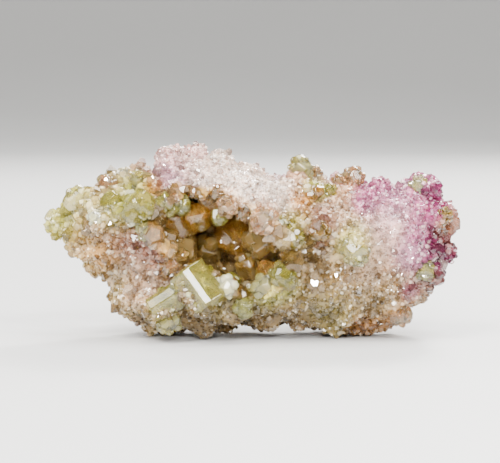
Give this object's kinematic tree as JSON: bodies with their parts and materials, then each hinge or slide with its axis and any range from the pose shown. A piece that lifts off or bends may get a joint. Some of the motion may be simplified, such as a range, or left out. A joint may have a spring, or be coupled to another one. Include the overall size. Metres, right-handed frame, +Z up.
{
  "type": "vesuvianite",
  "caption": "Elongated hand specimen of intergrown vesuvianite crystals, with an open crystal-lined hollow in its front and larger crystals along the hollow's lower lip.",
  "frame": {"origin": "on the resting plane, under the middle of the bounding box", "axes": "+X to the right along the longest extent, +Z up, and the face with the hollow looks towards -Y"},
  "size_m": [0.0456, 0.0236, 0.0219],
  "materials": {
    "crystal_mass": "glassy",
    "vug_crust": "glassy"
  },
  "bodies": {
    "root": {"crystal_mass": "crystal_mass", "vug_crust": "vug_crust"}
  },
  "joints": []
}
